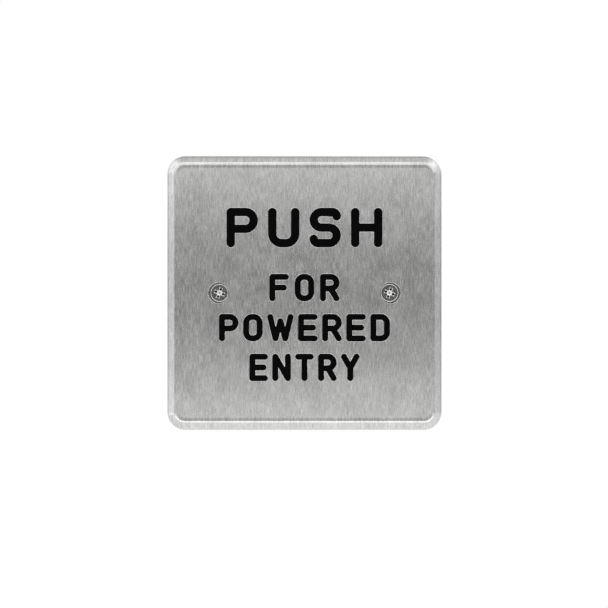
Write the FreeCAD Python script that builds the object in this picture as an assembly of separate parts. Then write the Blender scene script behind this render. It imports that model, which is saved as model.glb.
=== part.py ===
import FreeCAD, Part
import math
import os

from FreeCAD import Vector

# Push plate switch for a powered door, drawn on its wall.
# X runs to the right, Z up and Y into the wall. The origin is the centre of the
# wall surface, so the face plate looks towards -Y and the switch body reaches
# into the wall box at +Y. All lengths are in millimetres.

# ---- face plate: a square pressed pan that moves as one big button
PLATE = 114.3                   # side of the square, 4.5 in
SHEET = 1.5                     # thickness of the steel sheet
FRONT_Y = -17.0                 # front surface
RIM_Y = -4.0                    # rear edge of the skirt
FLAT_HALF = 53.2                # half width of the flat front
EDGE_ANGLE = 35.0               # slope of the bevel around the front, degrees
BEND_FRONT = 2.0                # outer radius where the flat turns into the bevel
BEND_SKIRT = 2.2                # outer radius where the bevel turns into the skirt
CORNER = 7.6                    # outer radius of the four corners, seen from the front

# ---- travel
PRESS = 2.5                     # how far the whole plate goes in
ROCK_AXIS_Y = -14.15            # depth of the line along X that the plate rocks about

# ---- screws, standoffs and guide bushes, one set on each side
SCREW_X = 35.3
SCREW_HEAD_Y = -16.6            # front of the screw head, sunk below the face
HEAD_RADIUS = 3.75
SHANK_RADIUS = 2.083            # no. 8 screw
COUNTERSINK = 41.0              # half angle of the head's cone, degrees
SCREW_LENGTH = 12.1
SCREW_POINT = 0.6               # chamfer at the end of the thread
THREAD_GAP = 0.02               # between the screw and the bore of its standoff
RECESS_TURN = 20.0              # how far the cross recess is turned, degrees
RECESS_DEPTH = 1.0              # depth of the four arms of the recess
RECESS_ARM = 2.1                # half length of an arm
RECESS_WIDTH = 0.9
RECESS_PIT = 1.2                # radius of the recess at its centre, a quarter of it at the bottom
RECESS_PIT_DEPTH = 1.6
DIMPLE_RIM = 4.35               # radius of the sunk seat at the front surface
DIMPLE_HOLE = 2.9
DIMPLE_BACK_Y = -14.3           # rear of the seat, where it meets the guide bush
DIMPLE_LIP = 1.2                # width of the flat around the hole at the rear
DIMPLE_FLAT = 1.45              # width of the flat ring drawn with the seat
STANDOFF_RADIUS = 3.175
STANDOFF_FRONT_Y = -11.5
TAIL_STEP = 0.6                 # the tail in the back plate is this much thinner
TAIL_FLARE = 0.4                # the swaged tail stands out past the standoff by this
TAIL_LENGTH = 0.8               # swaged length behind the back plate
BUSH_REAR_Y = -7.0
BUSH_RADIUS = 4.6
BUSH_FLANGE = 5.9
BUSH_FLANGE_THICK = 1.0
RIDGE_RADIUS = 0.14             # half-round ridge on the flange that the seat rocks on
SLIDE_GAP = 0.05                # running clearance between bush and standoff

# ---- fixed back plate, foam seal and its hardware
BACK_SIDE = 106.0
BACK_CORNER = 5.0
BACK_FRONT_Y = -3.5
BACK_REAR_Y = -2.0
FLANGE_FRONT_Y = -8.0           # front edge of the two folded side flanges
FLANGE_SHORT = 7.0              # each flange stops this far from the plate's corners
WINDOW_GAP = 0.8                # clearance around the switch in its window
SEAL_WIDTH = 6.0
BOX_HOLE_X = 23.02              # half of 46.04, the two-gang box spacing
BOX_HOLE_Z = 41.67              # half of 83.34, the box screw spacing
BOX_HOLE_RADIUS = 2.2
SPRING_AT = 38.0                # springs stand at plus and minus this, both ways
SPRING_RADIUS = 3.5             # centre line of the wire
SPRING_WIRE = 0.45              # radius of the wire
SPRING_TURNS = 5.5
SPRING_END_GAP = 0.1            # between the coil's end and the sheet
POST_RADIUS = 2.5               # on the back plate, inside each spring
POST_LENGTH = 5.0
STUD_RADIUS = 2.4               # on the face plate, inside each spring
STUD_LENGTH = 2.5
PIN_CHAMFER = 0.5               # chamfer on both of them
BUMPER_X = 11.5
BUMPER_Z = 44.0
BUMPER_GAP = 1.1                # left at full press, so that the plate can still rock
BUMPER_RADII = (3.4, 4.0, 4.5)  # tip, shoulder and foot
BUMPER_TIP = 0.6                # length from tip to shoulder
BUMPER_STEM = 1.6
BUMPER_BULB = (2.3, 1.2)        # radii of the barb behind the plate
BUMPER_BULB_LENGTH = 1.5

# ---- snap-action switch, its front wall standing in the gap behind the face
CASE_X = (-14.0, 13.8)
CASE_Y = (-8.0, 7.9)
CASE_Z = (-5.15, 3.15)          # the tray; the cover closes it on the +Z side
COVER_Z = 5.15
CASE_WALL = 1.0
FIXING_HOLES = ((-5.6, 3.4), (6.4, 3.9))
FIXING_RADIUS = 1.6
BOSS_RADIUS = 2.6
FIXING_SHANK = 1.5
FIXING_END_Z = -9.6
FIXING_HEAD = (2.75, 1.9)       # radius and height
FIXING_SLOT = (0.8, 1.0)        # width and depth of the driver slot
NUT_ACROSS_FLATS = 5.5
NUT_THICK = 2.4
LEVER_PIVOT = (-12.0, -9.0)
LEVER_RISE = 9.0                # slope of the lever at rest, degrees
LEVER_LENGTH = 25.0
LEVER_SHEET = 0.4
LEVER_HALF_WIDTH = 2.0
LEVER_EYE = 0.95                # outer radius of the rolled eye
LEVER_TIP = 0.5                 # radius of the rolled free end
PIN_RADIUS = 0.5
PIN_GAP = 0.05
PIN_SPAN = (-3.4, 3.4)
EAR_HALF = 1.3                  # the two ears that hold the pin, along X
EAR_TOP = 1.2                   # they stand this far in front of the pin
EAR_THICK = 1.1
PLUNGER_X = -5.0
PLUNGER_RADIUS = 1.3
PLUNGER_ROUND = 0.9             # fillet at the tip
PLUNGER_TIP_Y = -9.65
PLUNGER_END_Y = -3.75
PLUNGER_GAP = 0.06
COLLAR_STEP = 0.7               # the collar inside the case stands out by this
COLLAR_Y = (-6.6, -6.0)
BLADE_PIVOT = (-9.8, -2.4)
BLADE_RISE = 1.5                # slope of the blade at rest, degrees
BLADE_SHEET = 0.25
BLADE_HALF_WIDTH = 1.5
BLADE_EYE = 0.25                # radius of the rounded end that turns in the common terminal
CONTACT_ARM = 18.0              # blade pivot to moving contact
CONTACT_RADIUS = 1.2
CONTACT_HALF = 0.5              # half the length of the moving contact
CONTACT_MARGIN = 1.4            # strip left beyond the middle of a contact
TAB_END_Y = 14.9
TAB_HALF_WIDTH = 2.4
TAB_HALF_THICK = 0.4
TAB_HOLE = 0.85
STRIKER_X = 5.0
STRIKER_TIP_Y = -12.15
STRIKER_RADIUS = 3.2            # ball radius of the cap
STRIKER_STUD = (1.5, 1.6)       # radius and length
BRACKET_SHEET = 1.2
BRACKET_HALF = 11.0
BRACKET_SHORT = 0.4             # the leg stops this far from the rear of the case
FOOT_END_Z = -16.0
RIVET_X = 7.0
RIVET_Z = -11.5
RIVET_RADIUS = 1.6
RIVET_HEAD = (2.8, 2.0, 0.8)    # foot radius, top radius and height, in front
RIVET_TAIL = (2.6, 2.0, 0.7)    # the same behind

# ---- legend, cut with a round-nosed cutter and filled with paint
CUT_DEPTH = 0.35
PAINT_SINK = 0.05               # the paint stops this far below the surface
LEGEND = (                      # words, cap height, stroke, letter width, gap, centre height
    ("PUSH", 16.3, 3.4, 12.9, 4.3, 27.1),
    ("FOR", 11.3, 2.4, 8.0, 2.5, 2.2),
    ("POWERED", 11.3, 2.4, 8.0, 2.0, -14.4),
    ("ENTRY", 11.3, 2.4, 7.6, 1.9, -30.9),
)
WIDE_LETTERS = {"W": 1.35}      # width as a multiple of the common letter width

PAST = 1.0                      # how far a cutting shape runs past the surface
TINY = 1e-6


# ---------------------------------------------------------------- basic shapes
def block(x_span, y_span, z_span):
    size = [span[1] - span[0] for span in (x_span, y_span, z_span)]
    return Part.makeBox(size[0], size[1], size[2], Vector(x_span[0], y_span[0], z_span[0]))


def rod(radius, y_span, x=0.0, z=0.0):
    """A round bar along Y."""
    return Part.makeCylinder(radius, y_span[1] - y_span[0], Vector(x, y_span[0], z), Vector(0, 1, 0))


def cross_pin(radius, z_span, x, y):
    """A round bar along Z."""
    return Part.makeCylinder(radius, z_span[1] - z_span[0], Vector(x, y, z_span[0]), Vector(0, 0, 1))


def turned(profile, x=0.0, z=0.0):
    """Spin a closed outline of (radius, y) points about the line through (x, z) along Y."""
    points = [Vector(x + radius, y, z) for radius, y in profile]
    outline = Part.Face(Part.makePolygon(points + points[:1]))
    return outline.revolve(Vector(x, 0, z), Vector(0, 1, 0), 360)


def joined(shapes):
    return shapes[0].multiFuse(shapes[1:]).removeSplitter()


def group(shapes):
    return Part.makeCompound(shapes)


def swung(shape, pivot, degrees):
    """Turn a shape drawn along +X from the origin about Z, then move it to its pivot."""
    turned_shape = shape.copy()
    turned_shape.rotate(Vector(0, 0, 0), Vector(0, 0, 1), degrees)
    turned_shape.translate(Vector(pivot[0], pivot[1], 0))
    return turned_shape


def save(name, shape):
    shape.exportStep("parts/%s.step" % name)


# ---------------------------------------------------------------- legend letters
def strokes_of(letter, w, h):
    """Centre lines of one letter in a box w by h: lists of (x, z, corner radius)."""
    bowl = 0.27 * h
    turn = min(0.45 * w, 0.3 * h)
    curl = 0.14 * h
    stem = [(0, 0, 0), (0, h, 0)]
    bowl_stroke = [(0, h, 0), (w, h, bowl), (w, h - 2 * bowl, bowl), (0, h - 2 * bowl, 0)]
    quarter = 0.25 * h
    shapes = {
        "D": [stem, [(0, h, 0), (w, h, turn), (w, 0, turn), (0, 0, 0)]],
        "E": [stem, [(0, h, 0), (w, h, 0)], [(0, h / 2, 0), (0.88 * w, h / 2, 0)], [(0, 0, 0), (w, 0, 0)]],
        "F": [stem, [(0, h, 0), (w, h, 0)], [(0, h / 2, 0), (0.85 * w, h / 2, 0)]],
        "H": [stem, [(w, 0, 0), (w, h, 0)], [(0, h / 2, 0), (w, h / 2, 0)]],
        "N": [[(0, 0, 0), (0, h, 0), (w, 0, 0), (w, h, 0)]],
        "O": [[(0, 0.4 * h, 0), (0, h, turn), (w, h, turn), (w, 0.4 * h, 0)],
              [(0, 0.6 * h, 0), (0, 0, turn), (w, 0, turn), (w, 0.6 * h, 0)]],
        "P": [stem, bowl_stroke],
        "R": [stem, bowl_stroke, [(0.55 * w, h - 2 * bowl, 0), (w, 0, 0)]],
        "S": [[(w, h - curl, 0), (w, h, curl), (0, h, quarter), (0, h / 2, quarter),
               (w, h / 2, quarter), (w, 0, quarter), (0, 0, curl), (0, curl, 0)]],
        "T": [[(0, h, 0), (w, h, 0)], [(w / 2, 0, 0), (w / 2, h, 0)]],
        "U": [[(0, h, 0), (0, 0, turn), (w, 0, turn), (w, h, 0)]],
        "W": [[(0, h, 0), (0.26 * w, 0, 0), (0.5 * w, 0.8 * h, 0), (0.74 * w, 0, 0), (w, h, 0)]],
        "Y": [[(0, h, 0), (w / 2, 0.48 * h, 0), (w, h, 0)], [(w / 2, 0, 0), (w / 2, 0.48 * h, 0)]],
    }
    return shapes[letter]


def smooth_runs(points):
    """Split a centre line at its sharp corners and round the others with the radius they carry.

    Each run is a list of (start, middle, end, centre of curvature); the last is None on a line.
    """
    runs = [[]]
    here = Vector(points[0][0], 0, points[0][1])
    for index in range(1, len(points)):
        corner = Vector(points[index][0], 0, points[index][1])
        radius = points[index][2]
        if radius == 0:
            if (corner - here).Length > TINY:
                runs[-1].append((here, (here + corner) / 2, corner, None))
            runs.append([])
            here = corner
            continue
        after = Vector(points[index + 1][0], 0, points[index + 1][1])
        arriving = (corner - here).normalize()
        leaving = (after - corner).normalize()
        half_turn = arriving.getAngle(leaving) / 2
        start = corner - arriving * radius * math.tan(half_turn)
        end = corner + leaving * radius * math.tan(half_turn)
        inward = (leaving - arriving).normalize()
        centre = corner + inward * (radius / math.cos(half_turn))
        if (start - here).Length > TINY:
            runs[-1].append((here, (here + start) / 2, start, None))
        runs[-1].append((start, centre - inward * radius, end, centre))
        here = end
    return [run for run in runs if run]


def along_arc(point, centre, forward):
    """Direction of travel at a point of an arc, on the same side as forward."""
    tangent = (point - centre).cross(Vector(0, 1, 0)).normalize()
    return tangent if tangent.dot(forward) > 0 else tangent * -1


def first_heading(piece):
    start, _, end, centre = piece
    if centre is None:
        return (end - start).normalize()
    return along_arc(start, centre, end - start)


def shifted(piece, arriving, offset):
    """One piece of a run moved sideways by offset, with the direction it leaves in."""
    start, middle, end, centre = piece
    side = Vector(-arriving.z, 0, arriving.x) * offset
    if centre is None:
        return [point + side for point in (start, middle, end)], arriving
    scale = (start + side - centre).Length / (start - centre).Length
    moved = [centre + (point - centre) * scale for point in (start, middle, end)]
    return moved, along_arc(end, centre, end - start)


def edge_through(points, straight):
    if straight:
        return Part.LineSegment(points[0], points[2]).toShape()
    return Part.Arc(*points).toShape()


def cut_area(run, width):
    """The area that a round cutter of this width clears along one smooth run."""
    half = width / 2
    first = run[0]
    start_heading = first_heading(first)
    edges = []
    ends = []
    for offset in (half, -half):
        heading = start_heading
        for piece in run:
            moved, heading = shifted(piece, heading, offset)
            edges.append(edge_through(moved, piece[3] is None))
            if piece is first:
                near = moved[0]
        ends.append((near, moved[2]))
    edges.append(Part.Arc(ends[0][0], first[0] - start_heading * half, ends[1][0]).toShape())
    edges.append(Part.Arc(ends[0][1], run[-1][2] + heading * half, ends[1][1]).toShape())
    return Part.Face(Part.Wire(Part.__sortEdges__(edges)))


def letter_solid(letter, width, height, stroke, y_span):
    parts = []
    for points in strokes_of(letter, width - stroke, height - stroke):
        for run in smooth_runs(points):
            parts.append(cut_area(run, stroke).extrude(Vector(0, y_span[1] - y_span[0], 0)))
    solid = joined(parts) if len(parts) > 1 else parts[0]
    solid.translate(Vector(stroke / 2, y_span[0], stroke / 2))
    return solid


def legend_row(words, height, stroke, letter_width, gap, centre_z, y_span):
    """One centred row of letters, as separate solids."""
    widths = [letter_width * WIDE_LETTERS.get(letter, 1.0) for letter in words]
    x = -(sum(widths) + gap * (len(words) - 1)) / 2
    solids = []
    for letter, width in zip(words, widths):
        solid = letter_solid(letter, width, height, stroke, y_span)
        solid.translate(Vector(x, 0, centre_z - height / 2))
        solids.append(solid)
        x += width + gap
    return solids


# ---------------------------------------------------------------- face plate
def edge_chain(inset):
    """Points down one edge of the pan, in (distance out, y), for one side of the sheet."""
    sine = math.sin(math.radians(EDGE_ANGLE))
    cosine = math.cos(math.radians(EDGE_ANGLE))
    half = PLATE / 2
    first = (FLAT_HALF, FRONT_Y + BEND_FRONT)
    slope = (half - BEND_SKIRT - FLAT_HALF - (BEND_FRONT - BEND_SKIRT) * sine) / cosine
    second_y = first[1] - (BEND_FRONT - BEND_SKIRT) * cosine + slope * sine
    second = (half - BEND_SKIRT, second_y)
    return first, BEND_FRONT - inset, second, BEND_SKIRT - inset


def pan_section():
    """Cross-section of the pan's edge, from the corner centre line out to the skirt."""
    inner_x = PLATE / 2 - CORNER
    edges = []

    def at(distance, y):
        return Vector(distance, y, 0)

    def on_arc(centre, radius, degrees):
        angle = math.radians(degrees)
        return at(centre[0] + radius * math.sin(angle), centre[1] - radius * math.cos(angle))

    ends = []
    for inset in (0.0, SHEET):
        first, radius_1, second, radius_2 = edge_chain(inset)
        start = at(inner_x, FRONT_Y + inset)
        bend_1 = [on_arc(first, radius_1, EDGE_ANGLE * part) for part in (0, 0.5, 1)]
        rest = 90 - EDGE_ANGLE
        bend_2 = [on_arc(second, radius_2, EDGE_ANGLE + rest * part) for part in (0, 0.5, 1)]
        foot = at(PLATE / 2 - inset, RIM_Y)
        edges.append(Part.LineSegment(start, bend_1[0]).toShape())
        edges.append(Part.Arc(*bend_1).toShape())
        edges.append(Part.LineSegment(bend_1[2], bend_2[0]).toShape())
        edges.append(Part.Arc(*bend_2).toShape())
        edges.append(Part.LineSegment(bend_2[2], foot).toShape())
        ends.append((start, foot))
    edges.append(Part.LineSegment(ends[0][0], ends[1][0]).toShape())
    edges.append(Part.LineSegment(ends[0][1], ends[1][1]).toShape())
    return Part.Face(Part.Wire(Part.__sortEdges__(edges)))


def pan():
    """The pressed pan: one edge section run along four sides and around four corners."""
    reach = PLATE / 2 - CORNER
    section = pan_section()
    strip = section.extrude(Vector(0, 0, 2 * reach))
    strip.translate(Vector(0, 0, -reach))
    corner = section.revolve(Vector(reach, 0, 0), Vector(0, -1, 0), 90)
    corner.translate(Vector(0, 0, reach))
    pieces = [block((-reach, reach), (FRONT_Y, FRONT_Y + SHEET), (-reach, reach))]
    for quarter in range(4):
        for piece in (strip, corner):
            copy = piece.copy()
            copy.rotate(Vector(0, 0, 0), Vector(0, 1, 0), 90 * quarter)
            pieces.append(copy)
    return joined(pieces)


def dimple(x):
    """The sunk conical seat around one screw head, pressed out of the sheet."""
    slope = math.tan(math.radians(COUNTERSINK))
    outer = DIMPLE_RIM + DIMPLE_FLAT
    seat_end_y = FRONT_Y + (DIMPLE_RIM - DIMPLE_HOLE) / slope
    back_y = FRONT_Y + SHEET
    lip = DIMPLE_HOLE + DIMPLE_LIP
    return turned([
        (outer, FRONT_Y),
        (DIMPLE_RIM, FRONT_Y),
        (DIMPLE_HOLE, seat_end_y),
        (DIMPLE_HOLE, DIMPLE_BACK_Y),
        (lip, DIMPLE_BACK_Y),
        (lip + (DIMPLE_BACK_Y - back_y) * slope, back_y),
        (outer, back_y),
    ], x)


def face_plate(letters):
    plate = pan()
    through = (FRONT_Y - PAST, FRONT_Y + SHEET + PAST)
    for x in (-SCREW_X, SCREW_X):
        plate = plate.cut(rod(DIMPLE_RIM + DIMPLE_FLAT, through, x))
        plate = plate.fuse(dimple(x))
    return plate.removeSplitter().cut(group(letters))


# ---------------------------------------------------------------- screws and guides
def face_screw(x):
    """Countersunk cross-recess screw, threaded into its standoff."""
    slope = math.tan(math.radians(COUNTERSINK))
    neck_y = SCREW_HEAD_Y + (HEAD_RADIUS - SHANK_RADIUS) / slope
    tip_y = SCREW_HEAD_Y + SCREW_LENGTH
    screw = turned([
        (0, SCREW_HEAD_Y),
        (HEAD_RADIUS, SCREW_HEAD_Y),
        (SHANK_RADIUS, neck_y),
        (SHANK_RADIUS, tip_y - SCREW_POINT),
        (SHANK_RADIUS - SCREW_POINT, tip_y),
        (0, tip_y),
    ], x)
    arm = block((-RECESS_ARM, RECESS_ARM), (SCREW_HEAD_Y - PAST, SCREW_HEAD_Y + RECESS_DEPTH),
                (-RECESS_WIDTH / 2, RECESS_WIDTH / 2))
    for quarter in (0, 90):
        slot = arm.copy()
        slot.rotate(Vector(0, 0, 0), Vector(0, 1, 0), quarter + RECESS_TURN)
        slot.translate(Vector(x, 0, 0))
        screw = screw.cut(slot)
    bottom_y = SCREW_HEAD_Y + RECESS_PIT_DEPTH
    pit = turned([(0, SCREW_HEAD_Y - PAST), (RECESS_PIT, SCREW_HEAD_Y - PAST),
                  (RECESS_PIT, SCREW_HEAD_Y), (RECESS_PIT / 4, bottom_y), (0, bottom_y)], x)
    return screw.cut(pit)


def standoff(x):
    """Threaded post, its tail swaged over behind the back plate."""
    bore = SHANK_RADIUS + THREAD_GAP
    tail = STANDOFF_RADIUS - TAIL_STEP
    return turned([
        (bore, STANDOFF_FRONT_Y),
        (STANDOFF_RADIUS, STANDOFF_FRONT_Y),
        (STANDOFF_RADIUS, BACK_FRONT_Y),
        (tail, BACK_FRONT_Y),
        (tail, BACK_REAR_Y),
        (STANDOFF_RADIUS + TAIL_FLARE, BACK_REAR_Y),
        (tail, BACK_REAR_Y + TAIL_LENGTH),
        (bore, BACK_REAR_Y + TAIL_LENGTH),
    ], x)


def guide_bush(x):
    """Flanged nylon sleeve that slides on the standoff; the face plate rocks on its ridge."""
    bore = STANDOFF_RADIUS + SLIDE_GAP
    flange_rear_y = ROCK_AXIS_Y + BUSH_FLANGE_THICK
    sleeve = turned([
        (bore, ROCK_AXIS_Y),
        (BUSH_FLANGE, ROCK_AXIS_Y),
        (BUSH_FLANGE, flange_rear_y),
        (BUSH_RADIUS, flange_rear_y),
        (BUSH_RADIUS, BUSH_REAR_Y),
        (bore, BUSH_REAR_Y),
    ], x)
    reach = BUSH_FLANGE - RIDGE_RADIUS
    ridge = Part.makeCylinder(RIDGE_RADIUS, 2 * reach, Vector(x - reach, ROCK_AXIS_Y, 0), Vector(1, 0, 0))
    bored = ridge.cut(rod(bore, (ROCK_AXIS_Y - PAST, BUSH_REAR_Y), x))
    return joined([sleeve, bored])


# ---------------------------------------------------------------- back plate group
def corner_places(distance):
    return [(x, z) for z in (distance, -distance) for x in (-distance, distance)]


def bumper_places():
    return [(x, z) for z in (BUMPER_Z, -BUMPER_Z) for x in (-BUMPER_X, BUMPER_X)]


def back_plate():
    half = BACK_SIDE / 2
    sheet = (BACK_FRONT_Y, BACK_REAR_Y)
    plate = block((-half, half), sheet, (-half, half))
    upright = [edge for edge in plate.Edges
               if abs(edge.Vertexes[0].Point.x - edge.Vertexes[1].Point.x) < TINY
               and abs(edge.Vertexes[0].Point.z - edge.Vertexes[1].Point.z) < TINY]
    plate = plate.makeFillet(BACK_CORNER, upright)
    flange_end = half - FLANGE_SHORT
    left = block((-half, -half + SHEET), (FLANGE_FRONT_Y, BACK_REAR_Y), (-flange_end, flange_end))
    right = block((half - SHEET, half), (FLANGE_FRONT_Y, BACK_REAR_Y), (-flange_end, flange_end))
    plate = joined([plate, left, right])
    through = (BACK_FRONT_Y - PAST, BACK_REAR_Y + PAST)
    window_z = COVER_Z + WINDOW_GAP
    cuts = [block((CASE_X[0] - WINDOW_GAP, CASE_X[1] + WINDOW_GAP), through, (-window_z, window_z))]
    for x in (-BOX_HOLE_X, 0, BOX_HOLE_X):
        for z in (-BOX_HOLE_Z, BOX_HOLE_Z):
            cuts.append(rod(BOX_HOLE_RADIUS, through, x, z))
    for x in (-SCREW_X, SCREW_X):
        cuts.append(rod(STANDOFF_RADIUS - TAIL_STEP, through, x))
    for x, z in bumper_places():
        cuts.append(rod(BUMPER_STEM, through, x, z))
    for x in (-RIVET_X, RIVET_X):
        cuts.append(rod(RIVET_RADIUS, through, x, RIVET_Z))
    return plate.cut(group(cuts))


def wall_seal():
    """Die-cut foam ring around the rear of the back plate."""
    outer = BACK_SIDE / 2
    inner = outer - SEAL_WIDTH
    thick = (BACK_REAR_Y, 0.0)
    window = block((-inner, inner), (BACK_REAR_Y - PAST, PAST), (-inner, inner))
    return block((-outer, outer), thick, (-outer, outer)).cut(window)


def chamfered_pin(radius, root_y, length, x, z):
    """A short pin standing on root_y; a negative length points towards the face plate."""
    end_y = root_y + length
    shoulder_y = end_y - math.copysign(PIN_CHAMFER, length)
    return turned([(0, root_y), (radius, root_y), (radius, shoulder_y),
                   (radius - PIN_CHAMFER, end_y), (0, end_y)], x, z)


def spring_post(x, z):
    return chamfered_pin(POST_RADIUS, BACK_FRONT_Y, -POST_LENGTH, x, z)


def spring_stud(x, z):
    return chamfered_pin(STUD_RADIUS, FRONT_Y + SHEET, STUD_LENGTH, x, z)


def return_spring(x, z):
    """Open coil spring from the back plate to the inside of the face plate."""
    clearance = SPRING_WIRE + SPRING_END_GAP
    start_y = FRONT_Y + SHEET + clearance
    length = BACK_FRONT_Y - clearance - start_y
    helix = Part.makeHelix(length / SPRING_TURNS, length, SPRING_RADIUS)
    rise = length / SPRING_TURNS / (2 * math.pi * SPRING_RADIUS)
    wire_end = Part.makeCircle(SPRING_WIRE, Vector(SPRING_RADIUS, 0, 0), Vector(0, 1, rise))
    coil = Part.Wire(helix).makePipeShell([Part.Wire([wire_end])], True, True)
    coil.rotate(Vector(0, 0, 0), Vector(1, 0, 0), -90)
    coil.translate(Vector(x, start_y, z))
    return coil


def bumper(x, z):
    """Rubber stop, its stem pulled through the back plate."""
    tip, shoulder, foot = BUMPER_RADII
    front_y = FRONT_Y + SHEET + PRESS + BUMPER_GAP
    bulb_end_y = BACK_REAR_Y + BUMPER_BULB_LENGTH
    return turned([
        (0, front_y),
        (tip, front_y),
        (shoulder, front_y + BUMPER_TIP),
        (foot, BACK_FRONT_Y),
        (BUMPER_STEM, BACK_FRONT_Y),
        (BUMPER_STEM, BACK_REAR_Y),
        (BUMPER_BULB[0], BACK_REAR_Y),
        (BUMPER_BULB[1], bulb_end_y),
        (0, bulb_end_y),
    ], x, z)


# ---------------------------------------------------------------- switch
def lever():
    """Spring-steel lever with a rolled eye on its pin and a rolled free end."""
    across = (-LEVER_HALF_WIDTH, LEVER_HALF_WIDTH)
    eye = cross_pin(LEVER_EYE, across, 0, 0)
    strip = block((0, LEVER_LENGTH), (-LEVER_SHEET / 2, LEVER_SHEET / 2), across)
    tip = cross_pin(LEVER_TIP, across, LEVER_LENGTH, 0)
    shape = joined([eye, strip, tip]).cut(cross_pin(PIN_RADIUS + PIN_GAP, PIN_SPAN, 0, 0))
    return swung(shape, LEVER_PIVOT, -LEVER_RISE)


def lever_pin():
    return cross_pin(PIN_RADIUS, PIN_SPAN, LEVER_PIVOT[0], LEVER_PIVOT[1])


def plunger():
    shaft = rod(PLUNGER_RADIUS, (PLUNGER_TIP_Y, PLUNGER_END_Y), PLUNGER_X)
    tip = [edge for edge in shaft.Edges if edge.BoundBox.YMax < PLUNGER_TIP_Y + TINY]
    shaft = shaft.makeFillet(PLUNGER_ROUND, tip)
    collar = rod(PLUNGER_RADIUS + COLLAR_STEP, COLLAR_Y, PLUNGER_X)
    return joined([shaft, collar])


def contact_blade():
    """Copper strip with a rounded end at its pivot and a contact rivet at its free end."""
    across = (-BLADE_HALF_WIDTH, BLADE_HALF_WIDTH)
    eye = cross_pin(BLADE_EYE, across, 0, 0)
    strip = block((0, CONTACT_ARM + CONTACT_MARGIN), (-BLADE_SHEET / 2, BLADE_SHEET / 2), across)
    rivet = rod(CONTACT_RADIUS, (-CONTACT_HALF, CONTACT_HALF), CONTACT_ARM)
    return swung(joined([eye, strip, rivet]), BLADE_PIVOT, -BLADE_RISE)


def terminal(tab_x, stem_x, stem_front_y, arm_x, arm_y, button_y):
    """Flat tab and stem, folded into a wide arm that carries or holds a contact."""
    wall_y = CASE_Y[1] - CASE_WALL
    thin = (-TAB_HALF_THICK, TAB_HALF_THICK)
    pieces = [
        block((tab_x - TAB_HALF_WIDTH, tab_x + TAB_HALF_WIDTH), (wall_y, TAB_END_Y), thin),
        block(stem_x, (stem_front_y, wall_y), thin),
        block(arm_x, arm_y, (-BLADE_HALF_WIDTH, BLADE_HALF_WIDTH)),
    ]
    if button_y:
        pieces.append(rod(CONTACT_RADIUS, button_y, BLADE_PIVOT[0] + CONTACT_ARM))
    hole = cross_pin(TAB_HOLE, (-PAST, PAST), tab_x, TAB_END_Y - TAB_HALF_WIDTH)
    return joined(pieces).cut(hole)


def terminals():
    """The three terminals as tab centre, stem, front of stem, arm across, arm depth, contact button."""
    near = BLADE_PIVOT[0] + CONTACT_ARM - CONTACT_MARGIN
    far = BLADE_PIVOT[0] + CONTACT_ARM + CONTACT_MARGIN
    return {
        "terminal_common": terminal(-9.8, (-12.2, -10.1), -3.4, (-11.6, -10.1), (-3.4, -1.4), None),
        "terminal_normally_open": terminal(0.0, (-1.0, 1.0), -0.6, (-1.0, far), (-0.6, -0.1), (-1.2, -0.6)),
        "terminal_normally_closed": terminal(9.6, (10.9, 12.0), -4.6, (near, 12.0), (-4.6, -4.1),
                                             (-4.1, -3.55)),
    }


def case_tray(fitted):
    """Moulded tray with screw bosses, a plunger guide and two ears for the lever pin."""
    tray = block(CASE_X, CASE_Y, CASE_Z)
    inside = [(span[0] + CASE_WALL, span[1] - CASE_WALL) for span in (CASE_X, CASE_Y)]
    tray = tray.cut(block(inside[0], inside[1], (CASE_Z[0] + CASE_WALL, CASE_Z[1] + PAST)))
    added = [cross_pin(BOSS_RADIUS, CASE_Z, x, y) for x, y in FIXING_HOLES]
    pivot_x, pivot_y = LEVER_PIVOT
    for low in (PIN_SPAN[0], PIN_SPAN[1] - EAR_THICK):
        added.append(block((pivot_x - EAR_HALF, pivot_x + EAR_HALF), (pivot_y - EAR_TOP, CASE_Y[0]),
                           (low, low + EAR_THICK)))
    tray = joined([tray] + added)
    through = (CASE_Z[0] - PAST, CASE_Z[1] + PAST)
    cuts = [cross_pin(FIXING_RADIUS, through, x, y) for x, y in FIXING_HOLES]
    cuts.append(lever_pin())
    cuts.append(rod(PLUNGER_RADIUS + PLUNGER_GAP, (CASE_Y[0] - PAST, CASE_Y[0] + CASE_WALL), PLUNGER_X))
    return tray.cut(group(cuts)).cut(group(fitted))


def case_cover():
    cover = block(CASE_X, CASE_Y, (CASE_Z[1], COVER_Z))
    through = (CASE_Z[1] - PAST, COVER_Z + PAST)
    return cover.cut(group([cross_pin(FIXING_RADIUS, through, x, y) for x, y in FIXING_HOLES]))


def bracket():
    """Right-angle bracket: the foot is riveted behind the back plate, the leg holds the switch."""
    leg_z = (CASE_Z[0] - BRACKET_SHEET, CASE_Z[0])
    across = (-BRACKET_HALF, BRACKET_HALF)
    leg = block(across, (BACK_REAR_Y, CASE_Y[1] - BRACKET_SHORT), leg_z)
    foot = block(across, (BACK_REAR_Y, BACK_REAR_Y + BRACKET_SHEET), (FOOT_END_Z, CASE_Z[0]))
    shape = joined([leg, foot])
    cuts = [cross_pin(FIXING_RADIUS, (leg_z[0] - PAST, leg_z[1] + PAST), x, y) for x, y in FIXING_HOLES]
    for x in (-RIVET_X, RIVET_X):
        cuts.append(rod(RIVET_RADIUS, (BACK_REAR_Y - PAST, BACK_REAR_Y + BRACKET_SHEET + PAST), x, RIVET_Z))
    return shape.cut(group(cuts))


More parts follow.
